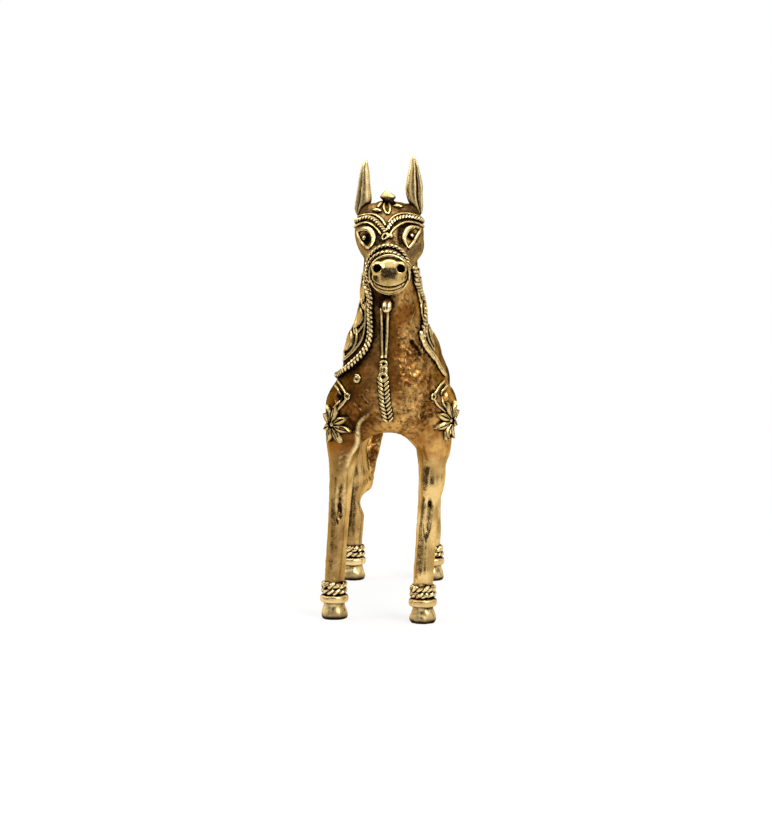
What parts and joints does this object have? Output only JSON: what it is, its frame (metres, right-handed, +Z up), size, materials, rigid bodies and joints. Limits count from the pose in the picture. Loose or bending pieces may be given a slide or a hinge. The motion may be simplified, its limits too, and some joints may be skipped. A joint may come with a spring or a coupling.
{
  "type": "horse figurine",
  "caption": "Standing brass horse figurine of the lost-wax kind, with rope and leaf relief on head, neck and chest, ringed ankles, a saddle pad and a tail joined to a hind leg.",
  "frame": {"origin": "centre of the bounding box, on the plane of the soles", "axes": "+Z up, -Y the way the horse faces, +X the horse's left side"},
  "size_m": [0.0456, 0.1356, 0.1517],
  "materials": {
    "brass_polished": "worn bright on the high points",
    "brass_worn": "satin, dark in the recesses",
    "brass_antique": "brown patina",
    "clay": "rough fired clay"
  },
  "bodies": {
    "root": {"barrel": "brass_antique", "brow_lower_thread": "brass_polished", "brow_rope": "brass_worn", "brow_upper_thread": "brass_polished", "chest_and_neck": "brass_antique", "chest_braid": "brass_worn", "chest_drop": "brass_polished", "chest_ring": "brass_polished", "chest_scroll": "brass_polished", "chest_strap": "brass_worn", "chin_thread": "brass_polished", "clay_core": "clay", "ear_left": "brass_polished", "ear_right": "brass_polished", "eye_rim_left": "brass_polished", "eye_rim_right": "brass_polished", "eyeball_left": "brass_polished", "eyeball_right": "brass_polished", "fore_hoof_left": "brass_polished", "fore_hoof_right": "brass_polished", "fore_leg_left": "brass_worn", "fore_leg_right": "brass_worn", "fore_plain_anklet_left": "brass_polished", "fore_plain_anklet_right": "brass_polished", "fore_rope_anklet_left": "brass_worn", "fore_rope_anklet_right": "brass_worn", "forehead_bead": "brass_polished", "forehead_ring": "brass_polished", "forehead_trefoil": "brass_worn", "head": "brass_worn", "hind_hoof_left": "brass_polished", "hind_hoof_right": "brass_polished", "hind_leg_left": "brass_worn", "hind_leg_right": "brass_worn", "hind_plain_anklet_left": "brass_polished", "hind_plain_anklet_right": "brass_polished", "hind_rope_anklet_left": "brass_worn", "hind_rope_anklet_right": "brass_worn", "lower_jaw": "brass_polished", "mane_crest": "brass_worn", "muzzle": "brass_polished", "muzzle_thread": "brass_polished", "neck_plate_left_1": "brass_worn", "neck_plate_left_2": "brass_worn", "neck_plate_left_3": "brass_worn", "neck_plate_right_1": "brass_worn", "neck_plate_right_2": "brass_worn", "neck_plate_right_3": "brass_worn", "noseband_rope_1": "brass_worn", "noseband_rope_2": "brass_worn", "rein_left": "brass_worn", "rein_right": "brass_worn", "saddle_pad": "brass_worn", "saddle_rope": "brass_worn", "shoulder_chevron_left": "brass_worn", "shoulder_chevron_right": "brass_worn", "shoulder_rosette_left": "brass_polished", "shoulder_rosette_right": "brass_polished", "tail": "brass_worn", "topknot": "brass_polished"}
  },
  "joints": []
}
